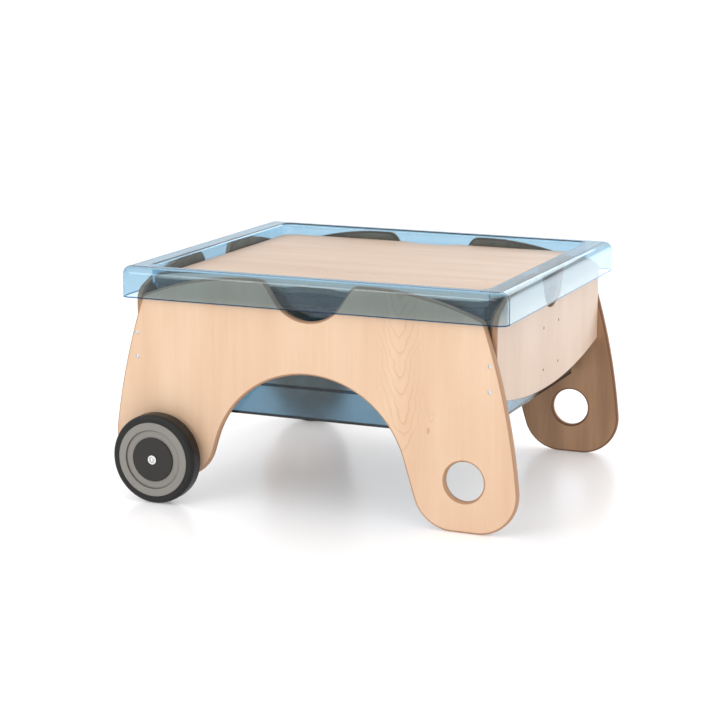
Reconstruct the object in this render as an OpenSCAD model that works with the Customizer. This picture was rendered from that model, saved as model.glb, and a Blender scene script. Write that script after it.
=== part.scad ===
// Sand and water table for children: two shaped plywood sides on one pair of wheels and one
// pair of feet, two plywood ends, a clear lift-out tub and a lift-off lid.
// The origin is on the floor under the middle of the tub. +X points to the feet, -Y to the front.

/* [Table] */
// Length of the tub's rim
rim_length = 898; // [890:1:910]
// Width of the tub's rim, front to back
rim_width = 780; // [776:1:786]
// Height of the tub's rim above the floor
rim_height = 518; // [517:1:522]
// Thickness of the plywood
ply = 18; // [17:0.5:18.5]

/* [Sides] */
// Distance from the middle of the table to the outer face of a side
side_face = 380; // [379:0.5:382]
// Half the table's length where the side's long edge arc is widest
flare_reach = 482.5; // [478:0.5:486]
// Height at which the side's long edge arc is widest, below the floor
flare_height = -43.5; // [-60:0.5:-30]
// Radius of the side's long edge arc
flare_radius = 1500; // [1400:10:1700]
// Radius of the arch between the legs
arch_radius = 229; // [220:1:236]
// Height of the arch's top
arch_top = 308; // [300:1:312]
// Radius of the corners of both legs
foot_radius = 90; // [80:1:95]
// Distance from the middle to the start of the foot's flat
foot_flat = 330; // [325:1:340]
// Distance from the middle to the start of the wheel leg's flat
wheel_leg_flat = 314; // [310:1:318]
// Height of the wheel leg's lower edge above the floor
wheel_leg_clear = 53; // [45:1:60]
// Radius of the hand hole in the foot leg
hand_hole_radius = 43; // [38:1:46]
// Distance from the middle to the hand hole
hand_hole_x = 357; // [350:1:365]
// Height of the hand hole
hand_hole_z = 111; // [105:1:118]

/* [Wave along the top of every panel] */
// Height of the two humps
hump_top = 509; // [507:0.5:510]
// Radius of the long slope from a hump to the corner
slope_radius = 661; // [600:1:720]
// Radius between a hump and the grip notch
hump_radius = 26; // [20:1:28]
// Height of the bottom of the grip notch
notch_bottom = 425.5; // [422:0.5:430]
// Radius of the notch's bottom in a side
notch_radius = 90; // [84:1:92]
// Distance from the middle to the inner shoulder of a side's hump
shoulder_x = 117.5; // [117:0.5:124]
// Distance from the middle to the outer end of the flat on a side's hump
crest_x = 138; // [130:1:150]
// Radius of a side's top corner
side_corner = 14; // [8:1:20]

/* [Ends] */
// Distance from the middle to the outer face of an end
end_face = 421; // [420:0.5:422]
// Height of the lowest point of an end
end_bottom = 246; // [240:1:252]
// Radius of an end's curved lower edge
end_bottom_radius = 1620; // [1500:10:1800]
// Radius of an end's top corner
end_corner = 42; // [30:1:50]
// Radius of the notch's bottom in an end
end_notch_radius = 66; // [60:1:67]
// Distance from the middle to the inner shoulder of an end's hump
end_shoulder = 95; // [95:0.5:100]
// Distance from the middle to the outer end of the flat on an end's hump
end_crest = 118; // [110:1:125]
// Thickness of the support cleat behind an end
cleat_t = 25; // [20:1:27]
// Width of a support cleat
cleat_w = 150; // [140:5:180]
// Height of a support cleat's lower edge
cleat_bottom = 268; // [265:1:275]

/* [Tub] */
// Thickness of the clear plastic
tub_wall = 4; // [3:0.5:4.5]
// Depth of the skirt that hangs over the panels
skirt_depth = 69; // [66:1:70]
// Plan radius of the rim's corners
rim_corner = 23; // [21:1:26]
// Radius of the rim's outer top edge
rim_edge = 19; // [17:0.5:20]
// Radius of the rim's inner top edge
rim_inner_edge = 7; // [6:0.5:9]
// Half length of the well at the lid
well_x = 393.5; // [392:0.5:396]
// Half width of the well at the lid
well_y = 356; // [355:0.5:357]
// Plan radius of the well's corners
well_r = 25; // [22:1:28]
// Depth from the rim to the ledge that carries the lid
lid_ledge_depth = 39; // [36:0.5:42]
// Width of the ledge that carries the lid
lid_ledge = 6; // [5:0.5:6]
// Height of the ledges that stand on the support cleats
end_ledge_z = 406; // [404:1:410]
// Half length of the well below those ledges
well_low_x = 373; // [371:0.5:374]
// Height of the shallow step near the tub's floor
step_z = 270; // [266:1:274]
// Width of that step
step_in = 4.5; // [4:0.5:5]
// Height of the tub's underside
tub_bottom = 202; // [200:0.5:207]

/* [Lid] */
// Thickness of the lid
lid_t = 12; // [9:0.5:13]
// Gap between the lid and the well's wall
lid_gap = 1.5; // [1:0.5:2]
// Depth of the lid's two finger recesses
recess_depth = 19; // [15:1:22]
// Length of the lid's finger recesses
recess_length = 130; // [110:1:150]

/* [Wheels] */
// Radius of the tyre
tyre_radius = 100; // [95:1:105]
// Distance from the middle to the axle
axle_x = 351; // [345:1:355]
// Width of the wheel at its hub
wheel_w = 45; // [40:1:48]
// Gap between the wheel and the side
wheel_gap = 9.5; // [8:0.5:12]
// Radius of the tyre's shoulders
tyre_shoulder = 9; // [6:0.5:12]
// Distance that the tyre's sidewalls lie below the hub's faces
tyre_inset = 1.5; // [1:0.5:3]
// Radius of the grey hub
hub_radius = 83; // [80:0.5:85]
// Radius of the hub's sunken disc
hub_sink_radius = 66; // [62:0.5:70]
// Depth of the hub's sunken disc
hub_sink = 4; // [3:0.5:6]
// Depth of the sunken ring in the hub's back
hub_back_sink = 2; // [1:0.5:3]
// Radius of the boss in the middle of the hub's back
hub_boss_radius = 22; // [18:1:30]
// Radius of the black hub cap
cap_radius = 49; // [44:0.5:52]
// Height of the hub cap above the sunken disc
cap_rise = 3.5; // [2:0.5:4]
// Radius of the axle bolt
bolt_radius = 5; // [4:0.5:6]
// Radius of the axle bolt's button head
bolt_head_radius = 6.8; // [6.5:0.1:9]
// Height of the button head
bolt_head_t = 4; // [3:0.5:5]
// Length of the axle bolt that stands out of its nut
bolt_tail = 2; // [1:0.5:6]
// Radius of the axle bush
bush_radius = 8; // [7.5:0.5:9]
// Radius of the spacer between the wheel and the side
spacer_radius = 16; // [12:0.5:18]
// Radius of the washers
washer_radius = 10; // [9:0.5:12]
// Thickness of the washers
washer_t = 1.6; // [1:0.1:2]
// Radius of the axle nut across its corners
nut_radius = 9; // [8.5:0.1:10]
// Thickness of the axle nut
nut_t = 8; // [6:0.5:10]

/* [Screws] */
// Radius of a side screw's head
screw_head = 5; // [4:0.5:6]
// Radius of a side screw's shank
screw_shank = 2.2; // [2:0.1:2.5]
// Length of a side screw's shank
screw_length = 45; // [35:1:50]
// Distance between the two side screws
screw_pitch = 54; // [50:1:60]
// Height of the lower side screw at the foot end
foot_screw_z = 309.5; // [305:0.5:318]
// Height of the lower side screw at the wheel end
wheel_screw_z = 317.5; // [305:0.5:318]
// Radius of a cleat screw's countersunk head
cleat_screw_head = 3.2; // [3:0.1:3.5]
// Radius of a cleat screw's shank
cleat_screw_shank = 1.6; // [1.5:0.1:1.8]
// Half the sideways distance between the cleat screws
cleat_screw_y = 53; // [50:1:56]
// Height of the lower cleat screws
cleat_screw_z = 291.5; // [289:0.5:295]
// Distance between the lower and the upper cleat screws
cleat_screw_rise = 94; // [85:1:95]

/* [Hidden] */
$fn = 96;

// Longest straight piece of a drawn arc, its widest turn, and the overlap of a cutting tool
chord = 22;
turn = 5;
eps = 1;
// Clearance of a pin that turns or passes through, and of a part that is lifted out
fit = 0.05;
lift_gap = 0.3;

half_length = rim_length / 2;
half_width = rim_width / 2;
side_inner = side_face - ply;
end_inner = end_face - ply;
end_middle = end_face - ply / 2;
skirt_bottom = rim_height - skirt_depth;
plate_bottom = rim_height - tub_wall;
lid_ledge_z = rim_height - lid_ledge_depth;
flare_centre = [flare_reach - flare_radius, flare_height];
arch_centre = [0, arch_top - arch_radius];
wheel_face = side_face + wheel_gap + wheel_w;

// ---- drawing aids ----

// Points of an arc from angle a to angle b
function arc(centre, r, a, b) =
  let (steps = max(ceil(abs(b - a) / turn), ceil(abs(b - a) * PI * r / 180 / chord)))
  [for (i = [0:steps]) centre + r * [cos(a + (b - a) * i / steps), sin(a + (b - a) * i / steps)]];

function mirrored(points) = [for (i = [len(points) - 1:-1:0]) [-points[i].x, points[i].y]];

function angle_of(v) = atan2(v.y, v.x);

// Centre of a circle of radius r that touches the inside of the flare arc and has height z
function flare_fillet(r, z) =
  [flare_centre.x + sqrt(pow(flare_radius - r, 2) - pow(z - flare_centre.y, 2)), z];

// Centre of the right-hand crossing of two circles
function circle_crossing(c1, r1, c2, r2) =
  let (d = norm(c2 - c1), along = (d * d + r1 * r1 - r2 * r2) / (2 * d))
  let (u = (c2 - c1) / d, off = sqrt(r1 * r1 - along * along))
  c1 + along * u + off * [-u.y, u.x];

// Direction from circle 1 to its end of the line that touches both circles on opposite sides
function cross_tangent(c1, r1, c2, r2, side) =
  angle_of(c2 - c1) + side * acos((r1 + r2) / norm(c2 - c1));

// Right half of the wavy top from the corner arc to the middle of the grip notch
function wave(slope_start, crest, shoulder, r_notch) =
  let (slope = [crest, hump_top - slope_radius], knob = [shoulder, hump_top - hump_radius])
  let (notch = [0, notch_bottom + r_notch])
  let (lean = cross_tangent(notch, r_notch, knob, hump_radius, -1))
  concat(
    arc(slope, slope_radius, slope_start, 90),
    arc(knob, hump_radius, 90, lean + 180),
    arc(notch, r_notch, lean, -90)
  );

// ---- sides ----

// Right half of a leg, from the middle of the arch round the foot to the flare
function leg(flat_x, clear) =
  let (inner = [flat_x, clear + foot_radius], outer = flare_fillet(foot_radius, clear + foot_radius))
  let (lean = cross_tangent(arch_centre, arch_radius, inner, foot_radius, 1))
  concat(
    arc(arch_centre, arch_radius, 90, lean),
    arc(inner, foot_radius, lean + 180, 270),
    arc(outer, foot_radius, -90, angle_of(outer - flare_centre))
  );

slope_centre = [crest_x, hump_top - slope_radius];
corner_centre = circle_crossing(flare_centre, flare_radius - side_corner,
                                slope_centre, slope_radius - side_corner);

// Right half of a side from the foot to the middle of the notch
function side_half(flat_x, clear) =
  let (foot = leg(flat_x, clear), corner_start = angle_of(corner_centre - flare_centre))
  let (corner_end = angle_of(corner_centre - slope_centre))
  let (flare_start = angle_of(flare_fillet(foot_radius, clear + foot_radius) - flare_centre))
  concat(
    foot,
    arc(flare_centre, flare_radius, flare_start, corner_start),
    arc(corner_centre, side_corner, corner_start, corner_end),
    wave(corner_end, crest_x, shoulder_x, notch_radius)
  );

module side_outline() {
  polygon(concat(
    side_half(foot_flat, 0),
    mirrored(side_half(wheel_leg_flat, wheel_leg_clear))
  ));
}

// Places a child drawn outwards from the middle at the front side, or at the back side
module on_side(back) {
  mirror([0, back ? 1 : 0, 0]) children();
}

// Turns a child whose axis is +Z so that it points out of the front
module facing_front(x, y, z) {
  translate([x, -y, z]) rotate([90, 0, 0]) children();
}

module at_side_screws() {
  for (i = [0, 1]) {
    facing_front(end_middle, side_face, foot_screw_z + i * screw_pitch) children();
    facing_front(-end_middle, side_face, wheel_screw_z + i * screw_pitch) children();
  }
}

module side_panel(back) {
  color("burlywood") on_side(back) difference() {
    facing_front(0, side_inner, 0) linear_extrude(ply) side_outline();
    facing_front(hand_hole_x, side_inner - eps, hand_hole_z)
      cylinder(h = ply + 2 * eps, r = hand_hole_radius);
    facing_front(-axle_x, side_inner - eps, tyre_radius)
      cylinder(h = ply + 2 * eps, r = bolt_radius + fit);
    at_side_screws() translate([0, 0, -ply - eps]) cylinder(h = ply + 2 * eps, r = screw_shank + fit);
  }
}

// ---- ends ----

end_slope = [end_crest, hump_top - slope_radius];
end_corner_x = side_inner - end_corner;
end_corner_z = end_slope.y + sqrt(pow(slope_radius - end_corner, 2) - pow(end_corner_x - end_slope.x, 2));
end_sweep = asin(side_inner / end_bottom_radius);

// Right half of an end from its lowest point to the middle of the notch
function end_half() =
  let (corner = [end_corner_x, end_corner_z], corner_end = angle_of(corner - end_slope))
  concat(
    arc([0, end_bottom + end_bottom_radius], end_bottom_radius, -90, end_sweep - 90),
    arc(corner, end_corner, 0, corner_end),
    wave(corner_end, end_crest, end_shoulder, end_notch_radius)
  );

// Places a child drawn for the right-hand end at the right, or at the left
module on_end(left) {
  mirror([left ? 1 : 0, 0, 0]) children();
}

// Turns a child whose axis is +Z so that it points out of the right-hand end
module facing_right(x, y, z) {
  translate([x, y, z]) rotate([90, 0, 90]) children();
}

module at_cleat_screws() {
  for (side = [-1, 1], i = [0, 1]) {
    facing_right(end_face, side * cleat_screw_y, cleat_screw_z + i * cleat_screw_rise) children();
  }
}

module cleat_screw_hole(depth) {
  translate([0, 0, -depth]) cylinder(h = depth + eps, r = cleat_screw_shank + fit);
}

module end_panel(left) {
  color("wheat") difference() {
    on_end(left) difference() {
      facing_right(end_inner, 0, 0) linear_extrude(ply) polygon(concat(end_half(), mirrored(end_half())));
      at_cleat_screws() {
        cleat_screw_hole(ply + eps);
        translate([0, 0, -cleat_screw_head]) cylinder(h = cleat_screw_head, r1 = 0, r2 = cleat_screw_head);
      }
    }
    for (back = [false, true]) {
      on_side(back) at_side_screws() translate([0, 0, -screw_length]) {
        cylinder(h = screw_length, r = screw_shank + fit);
      }
    }
  }
}

cleat_height = end_ledge_z - lift_gap - cleat_bottom;

module support_cleat(left) {
  color("tan") on_end(left) difference() {
    translate([end_inner - cleat_t, -cleat_w / 2, cleat_bottom]) cube([cleat_t, cleat_w, cleat_height]);
    at_cleat_screws() cleat_screw_hole(ply + cleat_t - eps);
  }
}

// ---- tub ----

module rounded_rect(hx, hy, r) {
  square([2 * hx, 2 * (hy - r)], center = true);
  square([2 * (hx - r), 2 * hy], center = true);
  for (x = [-1, 1], y = [-1, 1]) {
    translate([x * (hx - r), y * (hy - r)]) circle(r = r);
  }
}

module block(hx, hy, r, z0, z1) {
  translate([0, 0, z0]) linear_extrude(z1 - z0) rounded_rect(hx, hy, r);
}

// Sweeps a profile, whose x points outwards and whose y points up, round a rounded rectangle
module swept(hx, hy, r) {
  for (half_turn = [0, 180]) rotate(half_turn) {
    translate([r - hx, hy, 0]) rotate([90, 0, 90]) linear_extrude(2 * (hx - r)) children();
    translate([hx, hy - r, 0]) rotate([90, 0, 0]) linear_extrude(2 * (hy - r)) children();
    translate([hx - r, hy - r, 0]) rotate_extrude(angle = 90) translate([r, 0]) children();
    translate([r - hx, hy - r, 0]) rotate(90) rotate_extrude(angle = 90) translate([r, 0]) children();
  }
}

// Quarter ring of the tub's thickness that turns a wall into the flat of the rim
module quarter_ring(r) {
  intersection() {
    difference() {
      circle(r = r);
      circle(r = r - tub_wall);
    }
    square(r);
  }
}

module skirt_profile() {
  translate([-tub_wall, skirt_bottom]) square([tub_wall, rim_height - rim_edge - skirt_bottom]);
  translate([-rim_edge, rim_height - rim_edge]) quarter_ring(rim_edge);
}

module inner_edge_profile() {
  translate([rim_inner_edge, rim_height - rim_inner_edge]) mirror([1, 0]) quarter_ring(rim_inner_edge);
}

inner_x = well_x - tub_wall;
inner_y = well_y - tub_wall;
inner_r = well_r - tub_wall;

// The well's outline from the rim down, grown inwards by t: half length, half width, radius, bottom
function well_steps(t) = [
  [well_x - t, well_y - t, well_r - t, lid_ledge_z - tub_wall + t],
  [well_x - lid_ledge - t, well_y - lid_ledge - t, well_r - lid_ledge - t, end_ledge_z + t],
  [well_low_x - t, well_y - lid_ledge - t, well_r - lid_ledge - t, step_z + t],
  [well_low_x - step_in - t, well_y - lid_ledge - step_in - t, well_r - lid_ledge - t, tub_bottom + t]
];

module well_stack(t, top) {
  steps = well_steps(t);
  for (i = [0:len(steps) - 1]) {
    step_top = i == 0 ? top : steps[i - 1][3];
    block(steps[i].x, steps[i].y, steps[i].z, steps[i][3], step_top);
  }
}

module rim_plate() {
  difference() {
    block(half_length - rim_edge, half_width - rim_edge, rim_corner - rim_edge, plate_bottom, rim_height);
    block(inner_x + rim_inner_edge, inner_y + rim_inner_edge, inner_r + rim_inner_edge,
          plate_bottom - eps, rim_height + eps);
  }
}

module tub() {
  color([0.45, 0.7, 0.9, 0.5]) {
    difference() {
      well_stack(0, rim_height - rim_inner_edge);
      well_stack(tub_wall, rim_height);
    }
    swept(inner_x, inner_y, inner_r) inner_edge_profile();
    rim_plate();
    swept(half_length, half_width, rim_corner) skirt_profile();
  }
}

// ---- lid ----

lid_x = inner_x - lid_gap;
lid_y = inner_y - lid_gap;
lid_bottom = lid_ledge_z + lift_gap;
// Length of the ramp at each end of a finger recess, and the number of steps it is drawn in
recess_ramp = recess_length / 4;
ramp_steps = 12;

module lid() {
  color("peachpuff") difference() {
    block(lid_x, lid_y, inner_r - lid_gap, lid_bottom, lid_bottom + lid_t);
    for (front = [0, 180]) rotate(front) {
      translate([0, lid_y, lid_bottom - eps]) linear_extrude(lid_t + 2 * eps) finger_recess();
    }
  }
}

// Cosine ramp from the lid's edge down to the recess's floor
function ramp_points() = [
  for (i = [0:ramp_steps]) let (s = i / ramp_steps)
    [recess_length / 2 - s * recess_ramp, -recess_depth * (1 - cos(180 * s)) / 2]
];

module finger_recess() {
  polygon(concat([[recess_length / 2, eps]], ramp_points(), mirrored(ramp_points()),
                 [[-recess_length / 2, eps]]));
}

// ---- screws ----

module side_screw() {
  socket = screw_head / 2;
  head_t = screw_head / 2;
  dome = (screw_head * screw_head + head_t * head_t) / (2 * head_t);
  difference() {
    intersection() {
      cylinder(h = head_t, r = screw_head);
      translate([0, 0, head_t - dome]) sphere(r = dome);
    }
    translate([0, 0, head_t / 3]) cylinder(h = head_t, r = socket, $fn = 6);
  }
  translate([0, 0, -screw_length + eps]) cylinder(h = screw_length - eps, r = screw_shank);
}

module side_screws(back) {
  color("silver") on_side(back) at_side_screws() side_screw();
}

module cleat_screw() {
  length = ply + cleat_t - 2 * eps;
  slot = cleat_screw_head / 3;
  shank_top = -1.5 * slot;
  difference() {
    translate([0, 0, -cleat_screw_head]) cylinder(h = cleat_screw_head, r1 = 0, r2 = cleat_screw_head);
    translate([-slot / 2, -cleat_screw_head, -slot]) cube([slot, 2 * cleat_screw_head, 2 * slot]);
  }
  translate([0, 0, -length]) cylinder(h = length + shank_top, r = cleat_screw_shank);
}

module cleat_screws(left) {
  color("dimgray") on_end(left) at_cleat_screws() cleat_screw();
}

// ---- wheels ----
// Each wheel part is drawn round +Z, with z = 0 on the side's outer face, then turned outwards.

hub_front = wheel_gap + wheel_w;
sunk_face = hub_front - hub_sink;
cap_face = sunk_face + cap_rise;
bush_start = wheel_gap - lift_gap;
bush_end = cap_face + lift_gap;
// Chamfer on the edges of the hub and its cap
edge = 1;

module at_axle(back) {
  on_side(back) facing_front(-axle_x, side_face, tyre_radius) children();
}

// Right half of a tyre's section: a flat sidewall, a rounded shoulder and a flat tread
module tyre_section() {
  low = wheel_gap + tyre_inset;
  high = hub_front - tyre_inset;
  tread = tyre_radius - tyre_shoulder;
  polygon(concat(
    [[hub_radius + fit, low]],
    arc([tread, low + tyre_shoulder], tyre_shoulder, -90, 0),
    arc([tread, high - tyre_shoulder], tyre_shoulder, 0, 90),
    [[hub_radius + fit, high]]
  ));
}

module tyre(back) {
  color([0.12, 0.12, 0.12]) at_axle(back) rotate_extrude() tyre_section();
}

// The hub's face steps down to a sunken disc, and its middle is bored for the bush
module wheel_hub(back) {
  color([0.66, 0.65, 0.63]) at_axle(back) rotate_extrude() polygon([
    [bush_radius + fit, wheel_gap],
    [hub_boss_radius, wheel_gap],
    [hub_boss_radius, wheel_gap + hub_back_sink],
    [hub_sink_radius, wheel_gap + hub_back_sink],
    [hub_sink_radius, wheel_gap],
    [hub_radius, wheel_gap],
    [hub_radius, hub_front - edge],
    [hub_radius - edge, hub_front],
    [hub_sink_radius + edge, hub_front],
    [hub_sink_radius, hub_front - edge],
    [hub_sink_radius, sunk_face],
    [bush_radius + fit, sunk_face]
  ]);
}

module hub_cap(back) {
  color([0.2, 0.19, 0.18]) at_axle(back) rotate_extrude() polygon([
    [bush_radius + fit, sunk_face],
    [cap_radius, sunk_face],
    [cap_radius, cap_face - edge],
    [cap_radius - edge, cap_face],
    [bush_radius + fit, cap_face]
  ]);
}

module axle_bush(back) {
  color("ivory") at_axle(back) difference() {
    translate([0, 0, bush_start]) cylinder(h = bush_end - bush_start, r = bush_radius);
    cylinder(h = 2 * wheel_w, r = bolt_radius + fit);
  }
}

module wheel_spacer(back) {
  color("silver") at_axle(back) difference() {
    cylinder(h = bush_start, r = spacer_radius);
    translate([0, 0, -eps]) cylinder(h = bush_start + 2 * eps, r = bolt_radius + fit);
  }
}

module washer() {
  difference() {
    cylinder(h = washer_t, r = washer_radius);
    translate([0, 0, -eps]) cylinder(h = washer_t + 2 * eps, r = bolt_radius + fit);
  }
}

module bolt_washer(back) {
  color("silver") at_axle(back) translate([0, 0, bush_end]) washer();
}

module nut_washer(back) {
  color("silver") at_axle(back) translate([0, 0, -ply - washer_t]) washer();
}

// Button-headed bolt with a hexagon socket, passed in from outside
module axle_bolt(back) {
  dome = (pow(bolt_head_radius, 2) + pow(bolt_head_t, 2)) / (2 * bolt_head_t);
  head_base = bush_end + washer_t;
  tail = ply + washer_t + nut_t + bolt_tail;
  color("silver") at_axle(back) {
    difference() {
      intersection() {
        translate([0, 0, head_base]) cylinder(h = bolt_head_t, r = bolt_head_radius);
        translate([0, 0, head_base + bolt_head_t - dome]) sphere(r = dome);
      }
      translate([0, 0, head_base + bolt_head_t / 2])
        cylinder(h = bolt_head_t, r = bolt_head_radius / 2, $fn = 6);
    }
    translate([0, 0, -tail]) cylinder(h = tail + head_base, r = bolt_radius);
  }
}

module axle_nut(back) {
  color("silver") at_axle(back) translate([0, 0, -ply - washer_t - nut_t]) difference() {
    cylinder(h = nut_t, r = nut_radius, $fn = 6);
    translate([0, 0, -eps]) cylinder(h = nut_t + 2 * eps, r = bolt_radius + fit);
  }
}

side_panel(false);  // side_panel_front
side_panel(true);  // side_panel_back
end_panel(true);  // end_panel_left
end_panel(false);  // end_panel_right
support_cleat(true);  // support_cleat_left
support_cleat(false);  // support_cleat_right
tub();
lid();
side_screws(false);  // side_screws_front
side_screws(true);  // side_screws_back
cleat_screws(true);  // cleat_screws_left
cleat_screws(false);  // cleat_screws_right
tyre(false);  // tyre_front
tyre(true);  // tyre_back
wheel_hub(false);  // wheel_hub_front
wheel_hub(true);  // wheel_hub_back
hub_cap(false);  // hub_cap_front
hub_cap(true);  // hub_cap_back
axle_bush(false);  // axle_bush_front
axle_bush(true);  // axle_bush_back
wheel_spacer(false);  // wheel_spacer_front
wheel_spacer(true);  // wheel_spacer_back
axle_bolt(false);  // axle_bolt_front
axle_bolt(true);  // axle_bolt_back
bolt_washer(false);  // bolt_washer_front
bolt_washer(true);  // bolt_washer_back
nut_washer(false);  // nut_washer_front
nut_washer(true);  // nut_washer_back
axle_nut(false);  // axle_nut_front
axle_nut(true);  // axle_nut_back
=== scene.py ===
import math

import bpy
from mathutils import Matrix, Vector


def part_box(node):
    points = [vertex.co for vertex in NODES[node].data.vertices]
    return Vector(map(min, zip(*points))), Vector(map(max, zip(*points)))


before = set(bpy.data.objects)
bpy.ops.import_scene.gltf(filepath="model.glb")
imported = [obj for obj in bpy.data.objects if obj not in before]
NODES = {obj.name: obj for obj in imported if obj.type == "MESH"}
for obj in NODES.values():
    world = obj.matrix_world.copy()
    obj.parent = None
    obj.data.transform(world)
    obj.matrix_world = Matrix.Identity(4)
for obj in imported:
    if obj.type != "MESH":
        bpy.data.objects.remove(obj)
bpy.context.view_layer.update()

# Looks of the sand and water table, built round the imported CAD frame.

SIDES = ("front", "back")
ENDS = ("left", "right")
WHITE = (1.0, 1.0, 1.0, 1.0)
MM = 0.001


# ---- material graphs ----

class Graph:
    """The node tree of a material or a world, with short ways to add and link nodes."""

    def __init__(self, owner):
        owner.use_nodes = True
        self.owner = owner
        self.tree = owner.node_tree
        self.tree.nodes.clear()

    def add(self, kind, **values):
        """Adds a node. A value is a setting of the node if it has one of that name, else an input."""
        node = self.tree.nodes.new("ShaderNode" + kind)
        for key, value in values.items():
            if key in node.bl_rna.properties:
                setattr(node, key, value)
            else:
                self.feed(node.inputs[key.replace("_", " ")], value)
        return node

    def feed(self, socket, value):
        if isinstance(value, bpy.types.NodeSocket):
            self.tree.links.new(value, socket)
        else:
            socket.default_value = value

    def math(self, operation, *values, clamp=False):
        node = self.add("Math", operation=operation, use_clamp=clamp)
        for socket, value in zip(node.inputs, values):
            self.feed(socket, value)
        return node.outputs[0]

    def mix(self, factor, a, b, blend="MIX"):
        """Mixes two colours."""
        node = self.add("Mix", data_type="RGBA", blend_type=blend)
        for index, value in ((0, factor), (6, a), (7, b)):
            self.feed(node.inputs[index], value)
        return node.outputs[2]

    def remap(self, value, low, high, to_low, to_high):
        """Maps the range from low to high onto another one, and holds its ends outside it."""
        node = self.add("MapRange", Value=value, From_Min=low, From_Max=high, To_Min=to_low, To_Max=to_high)
        return node.outputs[0]

    def noise(self, vector, scale, detail=3.0, roughness=0.5):
        """Noise of mean 0.5 at the vector times scale, which is one number or one for each axis."""
        if isinstance(scale, tuple):
            stretch = self.add("Mapping", Vector=vector)
            stretch.inputs["Scale"].default_value = scale
            vector, scale = stretch.outputs[0], 1.0
        return self.add("TexNoise", Vector=vector, Scale=scale, Detail=detail,
                        Roughness=roughness).outputs[0]

    def place(self, order="xyz"):
        """The object's own coordinates in metres, with the axes in this order."""
        at = self.add("TexCoord").outputs["Object"]
        if order == "xyz":
            return at
        parts = self.split(at)
        node = self.add("CombineXYZ")
        for socket, letter in zip(node.inputs, order):
            self.feed(socket, parts["xyz".index(letter)])
        return node.outputs[0]

    def split(self, vector):
        return self.add("SeparateXYZ", Vector=vector).outputs

    def size(self, value):
        return self.math("ABSOLUTE", value)

    def bump(self, height, strength, distance):
        return self.add("Bump", Height=height, Strength=strength, Distance=distance).outputs[0]

    def principled(self, **values):
        """Adds the material's shader and its output, which is returned."""
        shader = self.add("BsdfPrincipled", **values)
        return self.add("OutputMaterial", Surface=shader.outputs[0])


def new_material(name):
    return Graph(bpy.data.materials.new(name))


def srgb(r, g, b):
    """A colour given as it shows on a screen, from 0 to 255, as linear values."""
    def linear(c):
        c = c / 255
        return c / 12.92 if c <= 0.04045 else ((c + 0.055) / 1.055) ** 2.4
    return (linear(r), linear(g), linear(b), 1.0)


def shaded(colour, part):
    """A colour with this part of its brightness."""
    return tuple(part * c for c in colour[:3]) + (1.0,)


# ---- wood ----

PLY_LAYERS = 13
VENEER = 0.28 * MM       # the depth at which a rounded edge shows the plies below the face
ROUND_OVER = 6.5 * MM
# painted shade on the panels' faces on the table's inside, and its darker streaks
INNER_FACE_SHADE = (0.68, 0.57, 0.46, 1.0)
INNER_SHADE_STREAK = (0.42, 0.36, 0.30, 1.0)
# painted shade on the rounding of a cut edge on the table's inside
INNER_EDGE_SHADE = (0.42, 0.32, 0.24, 1.0)

# noise scales across the grain, along it and through the sheet, per metre
BANDS = (15.0, 1.6, 8.0)
CLOUDS = (9.0, 4.5, 8.0)
STREAKS = (130.0, 3.5, 30.0)
FIBRES = (600.0, 14.0, 120.0)
FLECKS = (420.0, 45.0, 90.0)
SWAY = (7.0, 6.0, 3.0)
WOBBLE = (55.0, 40.0, 30.0)
UNEVEN = (9.0, 15.0, 5.0)
KNOT_WANDER = 90.0

CLOUD_TONE = 0.12
STREAK_TONE = 0.08
FIBRE_TONE = 0.08
FLECK_TONE = 0.16
FIGURE_TONE = 0.55
DARKEST_TONE = 1.6
SWAY_WIDTH = 22 * MM
WOBBLE_WIDTH = 6 * MM
PITCH_SHIFT = 2.4        # how far unevenness moves a figure's lines, in pitches
LINE_SHARPNESS = 7.0


def cathedral(g, at, centre, pitch, low, high, spread=13 * MM, steep=3.6):
    """Nested U-shaped lines of flat-sawn veneer round centre, their bottoms between low and high."""
    u, v, _ = g.split(at)
    sway = g.noise(at, SWAY, 2.0, 0.45)
    across = g.math("ADD", g.math("SUBTRACT", u, centre), g.remap(sway, 0, 1, -SWAY_WIDTH, SWAY_WIDTH))
    wobble = g.noise(at, WOBBLE, 2.0, 0.5)
    across = g.math("ADD", across, g.remap(wobble, 0, 1, -WOBBLE_WIDTH, WOBBLE_WIDTH))
    narrow = g.math("DIVIDE", across, spread)
    climb = g.math("SUBTRACT", g.math("SQRT", g.math("MULTIPLY_ADD", narrow, narrow, 1.0)), 1.0)
    level = g.math("MULTIPLY_ADD", climb, -spread * steep, v)
    uneven = g.noise(at, UNEVEN, 2.0, 0.5)
    phase = g.math("FRACT", g.math("MULTIPLY_ADD", uneven, PITCH_SHIFT, g.math("DIVIDE", level, pitch)))
    lines = g.math("POWER", phase, LINE_SHARPNESS)
    beside = g.remap(g.size(across), 1.5 * spread, 4.5 * spread, 1.0, 0.0)
    above_low = g.remap(level, low, low + 0.4 * pitch, 0.0, 1.0)
    below_high = g.remap(level, high - 0.4 * pitch, high, 1.0, 0.0)
    return g.math("MULTIPLY", g.math("MULTIPLY", lines, beside), g.math("MULTIPLY", above_low, below_high))


def knot(g, at, place, size):
    """A small dark knot, longer along the grain than across it."""
    u, v, _ = g.split(at)
    wander = g.noise(at, KNOT_WANDER, 2.0, 0.5)
    across = g.math("DIVIDE", g.math("SUBTRACT", u, place[0]), size)
    along = g.math("DIVIDE", g.math("SUBTRACT", v, place[1]), 2.2 * size)
    square = g.math("MULTIPLY_ADD", across, across, g.math("MULTIPLY", along, along))
    return g.remap(g.math("MULTIPLY_ADD", wander, 2.0, square), 0.9, 2.2, 1.0, 0.0)


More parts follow.
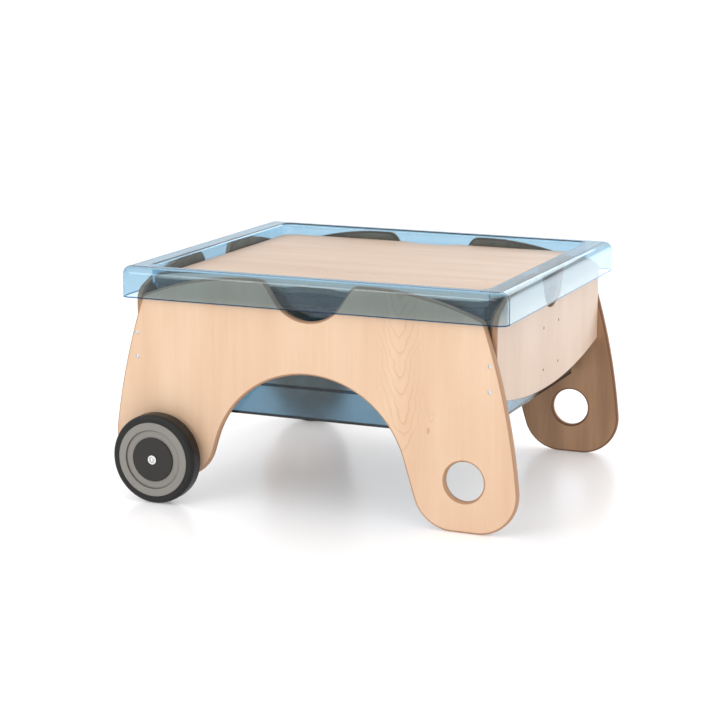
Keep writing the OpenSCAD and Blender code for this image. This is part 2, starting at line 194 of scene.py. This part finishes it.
def plywood(name, order, colours, middle, half, figure=(), knots=(), banding=0.34,
            inner_shade=WHITE, inner_edge_shade=WHITE):
    """Lacquered plywood. order names the axes across the grain, along it and through the sheet,
    and colours are those of the light and dark wood and of the plies. The sheet lies half to each
    side of middle. Its face on the table's inside carries painted shade, darker in streaks along
    the grain bands, and so does its cut edge where that is rounded on the inside."""
    light, dark, edge = colours
    g = new_material(name)
    at = g.place(order)
    through = g.split(at)[2]
    depth = g.size(through)
    bands = g.noise(at, BANDS, 4.0, 0.55)
    clouds = g.noise(at, CLOUDS, 3.0, 0.5)
    streaks = g.noise(at, STREAKS, 3.0, 0.5)
    fibres = g.noise(at, FIBRES, 3.0, 0.6)
    flecks = g.noise(at, FLECKS, 2.0, 0.5)
    tone = g.math("MULTIPLY", g.remap(bands, 0.3, 0.7, 0.0, 1.0), banding)
    tone = g.math("MULTIPLY_ADD", g.remap(clouds, 0.35, 0.65, 0.0, 1.0), CLOUD_TONE, tone)
    tone = g.math("MULTIPLY_ADD", g.remap(streaks, 0.3, 0.7, 0.0, 1.0), STREAK_TONE, tone)
    tone = g.math("MULTIPLY_ADD", g.remap(fibres, 0.3, 0.7, 0.0, 1.0), FIBRE_TONE, tone)
    tone = g.math("MULTIPLY_ADD", g.remap(flecks, 0.66, 0.74, 0.0, 1.0), FLECK_TONE, tone)
    for shape in figure:
        tone = g.math("MULTIPLY_ADD", cathedral(g, at, **shape), FIGURE_TONE, tone)
    for place, size in knots:
        tone = g.math("ADD", knot(g, at, place, size), tone)
    face = g.mix(g.math("MINIMUM", tone, DARKEST_TONE), light, dark)
    # painted shade on the face on the table's inside, darker in streaks along the grain bands
    inner_shaded_face = g.mix(1.0, face, inner_shade, "MULTIPLY")
    inner_shaded_face = g.mix(g.remap(bands, 0.42, 0.62, 0.0, 0.42), inner_shaded_face, INNER_SHADE_STREAK, "MULTIPLY")
    face = g.mix(g.math("LESS_THAN", depth, abs(middle)), face, inner_shaded_face)
    # the sheet's cut edge shows its plies, and where it is rounded on the inside it carries painted shade
    below_face = g.math("SUBTRACT", half, g.size(g.math("SUBTRACT", through, middle)))
    plies = g.math("SINE", g.math("MULTIPLY", through, math.pi * PLY_LAYERS / (2 * half)))
    ply_tone = g.math("MULTIPLY_ADD", plies, 0.35, g.math("MULTIPLY_ADD", fibres, 0.5, 0.25), clamp=True)
    cut = g.mix(ply_tone, edge, shaded(edge, 0.78))
    # painted shade where the cut edge is rounded on the table's inside
    rounded = g.math("LESS_THAN", depth, abs(middle) - half + ROUND_OVER)
    cut = g.mix(rounded, cut, g.mix(1.0, cut, inner_edge_shade, "MULTIPLY"))
    core = g.remap(below_face, VENEER, 1.6 * VENEER, 0.0, 1.0)
    rough = g.math("MULTIPLY_ADD", tone, 0.10, g.math("MULTIPLY_ADD", core, 0.15, 0.40))
    relief = g.math("MULTIPLY_ADD", streaks, 0.6, g.math("MULTIPLY", fibres, 0.6))
    g.principled(Base_Color=g.mix(core, face, cut), Roughness=rough, Normal=g.bump(relief, 0.10, 0.3 * MM),
                 IOR=1.5, Coat_Weight=0.12, Coat_Roughness=0.25, Coat_IOR=1.5)
    return g.owner


# ---- clear plastic ----

# half lengths and half widths of the tub's well, above its step and below it
WELL = (393.5 * MM, 356 * MM)
LOW_WELL = (368.5 * MM, 345.5 * MM)
TUB_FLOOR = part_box("tub")[0][2]
TUB_STEP = TUB_FLOOR + 68 * MM
SKIRT_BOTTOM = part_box("tub")[1][2] - 69 * MM
BEND_HEIGHT = 6 * MM
SKIRT_EDGE_PAINT_HEIGHT = 2.2 * MM
# painted shade of the well under the lid, deeper in its textured low part
WELL_SHADE = (0.86, 0.91, 0.935, 1.0)
LOW_WELL_SHADE = (0.80, 0.87, 0.905, 1.0)
# painted dark lines at the well's two bends
BEND_PAINTED_DARK = (0.02, 0.05, 0.07, 1.0)
# painted deep blue line along the skirt's bottom edge, standing in for light's long way along the sheet
SKIRT_EDGE_PAINT = (0.03, 0.20, 0.45, 1.0)
SHEET_COLOUR = (0.144, 0.544, 0.74, 1.0)
SHEET_DENSITY = 130.0
SHEET_IOR = 1.42


def layer(g, height, low, high, soft):
    """One between two heights, zero outside them."""
    return g.math("MULTIPLY", g.remap(height, low - soft, low, 0.0, 1.0),
                  g.remap(height, high, high + soft, 1.0, 0.0))


def outside_of(g, x, y, halves):
    """How far a place lies outside a rectangle round the middle, below zero inside it."""
    return g.math("MAXIMUM", g.math("SUBTRACT", g.size(x), halves[0]),
                  g.math("SUBTRACT", g.size(y), halves[1]))


def clear_plastic(name):
    """Clear light-blue sheet whose colour deepens with the length of the light's way through it."""
    g = new_material(name)
    at = g.place()
    x, y, height = g.split(at)
    wavy = g.noise(at, 9.0, 2.0, 0.4)
    rub = g.noise(at, (40.0, 300.0, 40.0), 3.0, 0.6)
    # the low part of the well is textured, and its two bends carry painted dark lines standing in for light
    # lost to internal reflection
    textured = g.remap(height, TUB_STEP - 4 * MM, TUB_STEP + 4 * MM, 1.0, 0.0)
    rough = g.math("MULTIPLY_ADD", textured, 0.07, g.remap(rub, 0.4, 0.75, 0.02, 0.06))
    low_wall = g.remap(outside_of(g, x, y, LOW_WELL), -2.5 * MM, -2 * MM, 0.0, 1.0)
    bends = g.math("MAXIMUM", layer(g, height, TUB_STEP, TUB_STEP + BEND_HEIGHT, 0.3 * MM),
                   layer(g, height, TUB_FLOOR - 1 * MM, TUB_FLOOR + BEND_HEIGHT, 0.3 * MM))
    bends = g.math("MULTIPLY", bends, low_wall)
    skirt_edge_paint = layer(g, height, SKIRT_BOTTOM - 1 * MM, SKIRT_BOTTOM + SKIRT_EDGE_PAINT_HEIGHT, 0.4 * MM)
    well = g.remap(outside_of(g, x, y, WELL), 0.5 * MM, 1.5 * MM, 1.0, 0.0)
    # painted shade: the well under the lid is darkened, its textured low part more
    tint = g.mix(well, WHITE, WELL_SHADE)
    tint = g.mix(textured, tint, LOW_WELL_SHADE)
    # painted dark lines at the two bends
    tint = g.mix(bends, tint, BEND_PAINTED_DARK)
    # painted deep blue line along the skirt's bottom edge
    tint = g.mix(skirt_edge_paint, tint, SKIRT_EDGE_PAINT)
    output = g.principled(Base_Color=tint, Roughness=rough, IOR=SHEET_IOR, Transmission_Weight=1.0,
                          Normal=g.bump(wavy, 0.16, 1.2 * MM))
    volume = g.add("VolumeAbsorption", Color=SHEET_COLOUR, Density=SHEET_DENSITY)
    g.feed(output.inputs["Volume"], volume.outputs[0])
    return g.owner


# ---- moulded plastic, rubber and steel ----

AXLE = (-351 * MM, 100 * MM)
HUB_FACE = abs(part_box("wheel_hub_front")[0][1])
HUB_SINK = 66 * MM
HUB_CAP = 49 * MM


def hub_painted_shade(g):
    """Painted shade of the hub: one at the foot of the step round its sunken disc, and half beside its cap.
    """
    x, y, z = g.split(g.place())
    from_axle = g.math("SUBTRACT", x, AXLE[0])
    above_axle = g.math("SUBTRACT", z, AXLE[1])
    radius = g.math("SQRT", g.math("MULTIPLY_ADD", from_axle, from_axle,
                                   g.math("MULTIPLY", above_axle, above_axle)))
    sunk = g.math("LESS_THAN", g.size(y), HUB_FACE - 0.8 * MM)
    step = g.math("MULTIPLY", g.remap(radius, HUB_SINK - 3.5 * MM, HUB_SINK, 0.0, 0.9),
                  g.remap(radius, HUB_SINK + 0.5 * MM, HUB_SINK + MM, 1.0, 0.0))
    beside_cap = g.remap(radius, HUB_CAP, HUB_CAP + 3 * MM, 0.5, 0.0)
    return g.math("MULTIPLY", sunk, g.math("MAXIMUM", step, beside_cap))


def moulded(name, colour, rough, shift=0.12, shine=0.5, groove_shade=None):
    """Moulded plastic or rubber with a fine grain and slightly uneven shine and colour.
    Its last argument is the colour of the painted shade in a hub's grooves."""
    g = new_material(name)
    at = g.place()
    patches = g.noise(at, 24.0, 3.0, 0.5)
    fine = g.noise(at, 900.0, 2.0, 0.5)
    surface = g.mix(patches, colour, shaded(colour, 1 - shift))
    # painted shade in the hub's grooves
    if groove_shade:
        surface = g.mix(hub_painted_shade(g), surface, groove_shade)
    g.principled(Base_Color=surface, Roughness=g.remap(patches, 0.3, 0.7, rough - 0.05, rough + 0.06),
                 Specular_IOR_Level=shine, Normal=g.bump(fine, 0.12, 0.1 * MM))
    return g.owner


def steel(name, colour, rough):
    """Plated steel with fine uneven polish."""
    g = new_material(name)
    at = g.place()
    fine = g.noise(at, 1400.0, 3.0, 0.6)
    patches = g.noise(at, 160.0, 2.0, 0.5)
    g.principled(Base_Color=g.mix(patches, colour, shaded(colour, 0.85)), Metallic=1.0,
                 Roughness=g.remap(fine, 0.3, 0.7, rough - 0.06, rough + 0.08),
                 Normal=g.bump(fine, 0.06, 0.05 * MM))
    return g.owner


# ---- rounded edges ----

END_ROUND_OVER = 3 * MM
SHARP = math.radians(40)
HOLE_EDGE = 0.9 * MM     # the edges round a screw hole are shorter than this, all others longer


def outline_nodes():
    """Geometry nodes that mark the sharp edges of a piece for rounding, but not its screw holes."""
    group = bpy.data.node_groups.new("outline", "GeometryNodeTree")
    for way in ("INPUT", "OUTPUT"):
        group.interface.new_socket("Geometry", in_out=way, socket_type="NodeSocketGeometry")

    def add(kind, **settings):
        node = group.nodes.new(kind)
        for key, value in settings.items():
            setattr(node, key, value)
        return node

    entry, leave = add("NodeGroupInput"), add("NodeGroupOutput")
    ends, fold = add("GeometryNodeInputMeshEdgeVertices"), add("GeometryNodeInputMeshEdgeAngle")
    length = add("ShaderNodeVectorMath", operation="DISTANCE")
    long_enough, sharp = (add("ShaderNodeMath", operation="GREATER_THAN") for _ in range(2))
    both = add("ShaderNodeMath", operation="MULTIPLY")
    store = add("GeometryNodeStoreNamedAttribute", data_type="FLOAT", domain="EDGE")
    store.inputs["Name"].default_value = "bevel_weight_edge"
    long_enough.inputs[1].default_value = HOLE_EDGE
    sharp.inputs[1].default_value = SHARP
    for source, target in ((ends.outputs["Position 1"], length.inputs[0]),
                           (ends.outputs["Position 2"], length.inputs[1]),
                           (length.outputs["Value"], long_enough.inputs[0]),
                           (fold.outputs["Unsigned Angle"], sharp.inputs[0]),
                           (long_enough.outputs[0], both.inputs[0]),
                           (sharp.outputs[0], both.inputs[1]),
                           (both.outputs[0], store.inputs["Value"]),
                           (entry.outputs[0], store.inputs["Geometry"]),
                           (store.outputs[0], leave.inputs[0])):
        group.links.new(source, target)
    return group


def ease(node, radius, outline, segments=4):
    """Rounds the sharp edges of a CAD node's outline."""
    modifiers = NODES[node].modifiers
    weld = modifiers.new("weld", "WELD")
    weld.merge_threshold = 0.01 * MM
    flat = modifiers.new("flat faces", "DECIMATE")
    flat.decimate_type = "DISSOLVE"
    flat.angle_limit = math.radians(0.05)
    modifiers.new("outline", "NODES").node_group = outline
    rounding = modifiers.new("rounding", "BEVEL")
    rounding.width = radius
    rounding.segments = segments
    rounding.limit_method = "WEIGHT"
    rounding.use_clamp_overlap = False
    rounding.harden_normals = True


def round_edges():
    outline = outline_nodes()
    for side in SIDES:
        ease("side_panel_" + side, ROUND_OVER, outline)
    for end in ENDS:
        ease("end_panel_" + end, END_ROUND_OVER, outline)
        ease("support_cleat_" + end, MM, outline, segments=2)
    ease("lid", 1.5 * MM, outline, segments=2)


# ---- materials of the parts ----

EDGE_WOOD = srgb(184, 141, 108)
SIDE_WOOD = (srgb(223, 192, 162), srgb(199, 156, 122), EDGE_WOOD)
END_WOOD = (srgb(212, 187, 167), srgb(188, 157, 132), EDGE_WOOD)
LID_WOOD = (srgb(208, 185, 166), srgb(184, 151, 124), EDGE_WOOD)
CLEAT_WOOD = (srgb(196, 162, 128), srgb(164, 128, 94), EDGE_WOOD)
SIDE_MIDDLE = 371 * MM
END_MIDDLE = 412 * MM
HALF_PLY = 9 * MM
HALF_LID = 6 * MM
NO_FACE = 1.0            # a sheet this thick shows none of its faces

FRONT_FIGURE = (dict(centre=0.214, pitch=0.042, low=0.13, high=0.56),
                dict(centre=0.279, pitch=0.015, low=0.228, high=0.262, spread=5 * MM))
FRONT_KNOT = ((0.277, 0.214), 3.5 * MM)
BACK_FIGURE = (dict(centre=-0.16, pitch=0.042, low=0.10, high=0.56),)
LEFT_FIGURE = (dict(centre=0.06, pitch=0.040, low=0.10, high=0.56),)
LID_FIGURE = (dict(centre=-0.12, pitch=0.06, low=-0.5, high=0.5, steep=8.0),)


def paint(node, material):
    """Gives a CAD node its material."""
    slots = NODES[node].material_slots
    if not slots:
        NODES[node].data.materials.append(material)
    for entry in slots:
        entry.material = material


def paint_wood():
    # painted shade on the panels' faces and cut-edge roundings on the table's inside
    inside = dict(inner_shade=INNER_FACE_SHADE, inner_edge_shade=INNER_EDGE_SHADE)
    for side, middle, figure, knots in (("front", -SIDE_MIDDLE, FRONT_FIGURE, (FRONT_KNOT,)),
                                        ("back", SIDE_MIDDLE, BACK_FIGURE, ())):
        paint("side_panel_" + side,
              plywood("side_plywood_" + side, "xzy", SIDE_WOOD, middle, HALF_PLY, figure, knots, **inside))
    for end, middle, figure in (("left", -END_MIDDLE, LEFT_FIGURE), ("right", END_MIDDLE, ())):
        paint("end_panel_" + end,
              plywood("end_plywood_" + end, "yzx", END_WOOD, middle, HALF_PLY, figure, **inside))
    low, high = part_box("lid")
    paint("lid", plywood("lid_plywood", "yxz", LID_WOOD, (low[2] + high[2]) / 2, HALF_LID, LID_FIGURE,
                         banding=0.5))
    cleat = plywood("cleat_wood", "yzx", CLEAT_WOOD, 0.0, NO_FACE)
    for end in ENDS:
        paint("support_cleat_" + end, cleat)


def paint_rest():
    paint("tub", clear_plastic("clear_blue_plastic"))
    rubber = moulded("tyre_rubber", srgb(22, 22, 21), 0.40, shine=0.3)
    # the hub gets painted shade in its grooves
    grey = moulded("grey_plastic", srgb(130, 126, 120), 0.42, shift=0.05, groove_shade=srgb(84, 78, 70))
    black = moulded("black_plastic", srgb(27, 24, 21), 0.42, shine=0.42)
    ivory = moulded("bush_plastic", srgb(225, 220, 205), 0.4)
    bright = steel("bright_steel", (0.66, 0.66, 0.66, 1.0), 0.22)
    zinc = steel("zinc_steel", (0.66, 0.67, 0.68, 1.0), 0.32)
    dark = steel("dark_steel", (0.02, 0.014, 0.012, 1.0), 0.4)
    for side in SIDES:
        for part, material in (("tyre", rubber), ("wheel_hub", grey), ("hub_cap", black),
                               ("axle_bush", ivory), ("wheel_spacer", zinc), ("nut_washer", zinc),
                               ("axle_nut", zinc), ("axle_bolt", bright), ("bolt_washer", bright),
                               ("side_screws", bright)):
            paint(part + "_" + side, material)
    for end in ENDS:
        paint("cleat_screws_" + end, dark)


# ---- studio ----

FLOOR_HALF = 30.0
FLOOR_COLOUR = (0.86, 0.86, 0.87, 1.0)
FLOOR_GLOW = 0.22
AZIMUTH = math.radians(23.04)
ELEVATION = math.radians(12.05)
DISTANCE = 4.740
TARGET = Vector((-0.0396, 0.0, 0.265))
LENS = 102.465
SENSOR = 36.0
HORIZON_FRONT = 0.95
HORIZON_BACK = 0.86
ZENITH = 1.35
BELOW = 1.2

# name, place, aim, width and height, and power in watts
LAMPS = (("key", (-2.4, -5.6, 2.6), (0, 0, 0.3), (3.0, 2.0), 75.0),
         ("behind", (0.5, 3.4, 2.0), (0, 0, 0.5), (3.0, 0.8), 14.0),
         ("skirt", (1.0, 1.6, 0.36), (0.45, 0, 0.48), (0.6, 0.7), 1.4),
         ("right", (2.4, 1.0, 1.2), (0.4, 0, 0.4), (1.0, 1.0), 1.3))


def add_floor():
    mesh = bpy.data.meshes.new("floor")
    h = FLOOR_HALF
    mesh.from_pydata([(-h, -h, 0), (h, -h, 0), (h, h, 0), (-h, h, 0)], [], [(0, 1, 2, 3)])
    floor = bpy.data.objects.new("floor", mesh)
    bpy.context.scene.collection.objects.link(floor)
    g = new_material("floor")
    g.principled(Base_Color=FLOOR_COLOUR, Roughness=0.24, IOR=1.7,
                 Emission_Color=WHITE, Emission_Strength=FLOOR_GLOW)
    mesh.materials.append(g.owner)


def add_world():
    """Bright overhead, white below the horizon and greyer round it, most of all at the back."""
    g = Graph(bpy.data.worlds.new("studio"))
    _, y, z = g.split(g.add("TexCoord").outputs["Generated"])
    band = g.remap(y, -0.8, 0.8, HORIZON_FRONT, HORIZON_BACK)
    rise = g.remap(z, 0.25, 0.75, 0.0, 1.0)
    upper = g.math("ADD", g.math("MULTIPLY", band, g.math("SUBTRACT", 1.0, rise)),
                   g.math("MULTIPLY", rise, ZENITH))
    lower = g.remap(z, -0.01, 0.03, 1.0, 0.0)
    level = g.math("ADD", g.math("MULTIPLY", lower, BELOW),
                   g.math("MULTIPLY", g.math("SUBTRACT", 1.0, lower), upper))
    background = g.add("Background", Color=WHITE, Strength=level)
    g.add("OutputWorld", Surface=background.outputs[0])
    bpy.context.scene.world = g.owner


def add_lamp(name, at, aim, size, power):
    data = bpy.data.lights.new(name, "AREA")
    data.shape = "RECTANGLE"
    data.size, data.size_y = size
    data.energy = power
    lamp = bpy.data.objects.new(name, data)
    lamp.location = at
    lamp.rotation_euler = (Vector(aim) - Vector(at)).to_track_quat("-Z", "Y").to_euler()
    lamp.visible_camera = False
    bpy.context.scene.collection.objects.link(lamp)


def add_camera():
    data = bpy.data.cameras.new("camera")
    data.lens = LENS
    data.sensor_width = SENSOR
    camera = bpy.data.objects.new("camera", data)
    back = Vector((math.sin(AZIMUTH) * math.cos(ELEVATION), -math.cos(AZIMUTH) * math.cos(ELEVATION),
                   math.sin(ELEVATION)))
    camera.location = TARGET + DISTANCE * back
    camera.rotation_euler = (math.pi / 2 - ELEVATION, 0.0, AZIMUTH)
    bpy.context.scene.collection.objects.link(camera)
    bpy.context.scene.camera = camera


paint_wood()
paint_rest()
round_edges()
add_floor()
add_world()
for lamp_values in LAMPS:
    add_lamp(*lamp_values)
add_camera()
bpy.context.scene.view_settings.view_transform = "Standard"
